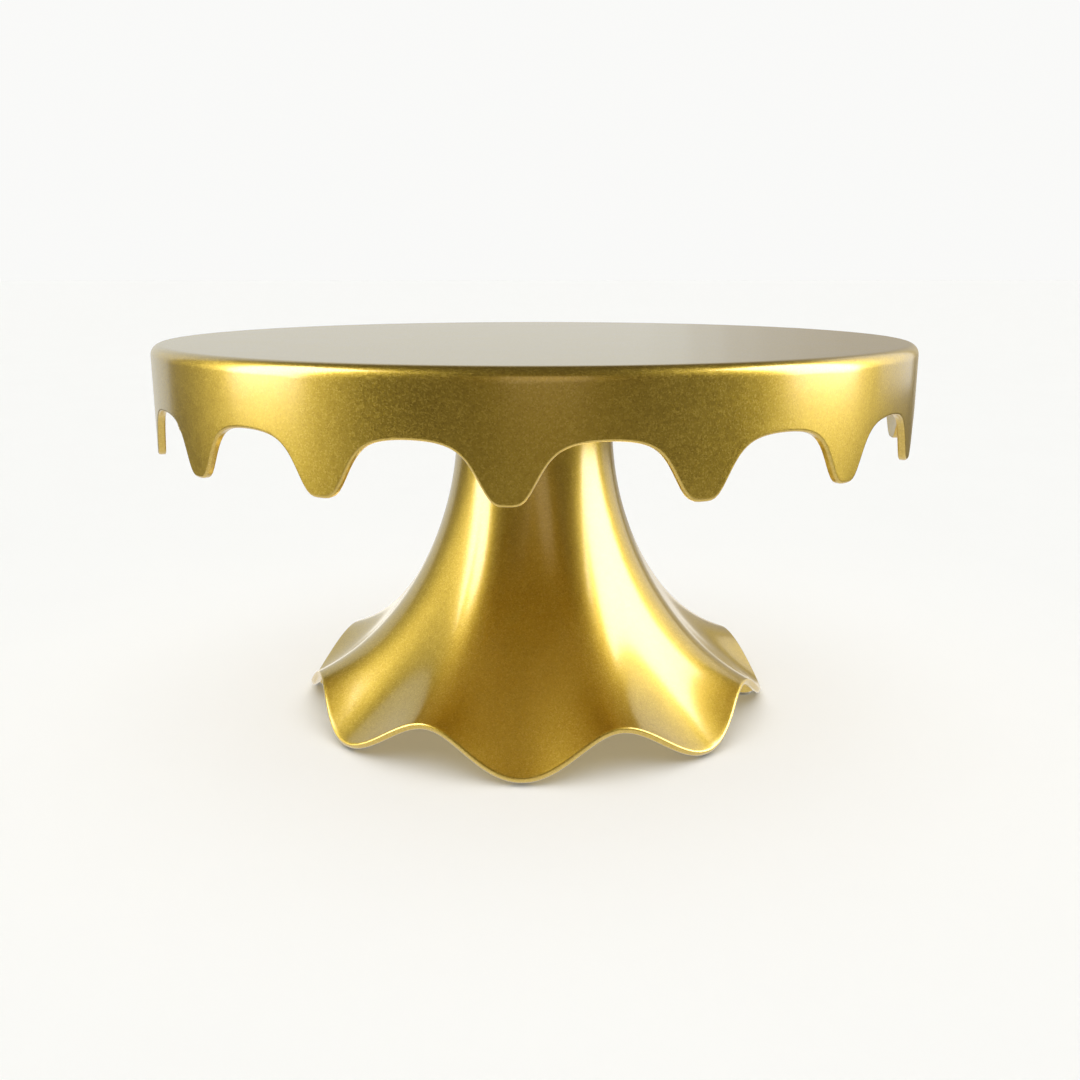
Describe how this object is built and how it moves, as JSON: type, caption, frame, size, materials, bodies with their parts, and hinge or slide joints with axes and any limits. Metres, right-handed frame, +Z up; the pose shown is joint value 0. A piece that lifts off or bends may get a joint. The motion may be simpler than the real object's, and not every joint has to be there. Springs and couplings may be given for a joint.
{
  "type": "cake stand",
  "caption": "Round cake stand: a plate with a dripping skirt on a hollow flared foot with a wavy hem, held by a clamp screw in the neck.",
  "frame": {"origin": "on the table, under the middle of the stand", "axes": "+Z up, -Y towards the middle of a lobe of the foot and of a drip of the plate"},
  "size_m": [0.3, 0.3, 0.153],
  "materials": {
    "gold_paint": "satin metallic gold paint on moulded plastic",
    "brass_insert": "machined",
    "zinc_steel": "zinc plated",
    "knob_plastic": "fine textured black",
    "gasket_rubber": "matt",
    "pad_silicone": "translucent silicone"
  },
  "bodies": {
    "foot": {"pedestal": "gold_paint", "gasket": "gasket_rubber", "foot_pad_1": "pad_silicone", "foot_pad_2": "pad_silicone", "foot_pad_3": "pad_silicone", "foot_pad_4": "pad_silicone", "foot_pad_5": "pad_silicone", "foot_pad_6": "pad_silicone", "foot_pad_7": "pad_silicone", "foot_pad_8": "pad_silicone"},
    "plate": {"plate": "gold_paint", "threaded_insert": "brass_insert"},
    "washer": {"washer": "zinc_steel"},
    "clamp_screw": {"clamp_screw": "zinc_steel", "wing_knob": "knob_plastic"}
  },
  "joints": [
    {"name": "plate_lift", "type": "slide", "parent": "foot", "child": "plate", "axis": [0, 0, 1], "range_m": [0, 0.04]},
    {"name": "washer_drop", "type": "slide", "parent": "foot", "child": "washer", "axis": [0, 0, -1], "range_m": [0, 0.0075]},
    {"name": "screw_turn", "type": "hinge", "parent": "washer", "child": "clamp_screw", "pos_m": [0, 0, 0.13], "axis": [0, 0, -1], "range_deg": [0, 2160]}
  ],
  "couplings": [
    {"joint": "screw_turn", "follows": "washer_drop", "rad_per_m": 5026.5}
  ]
}
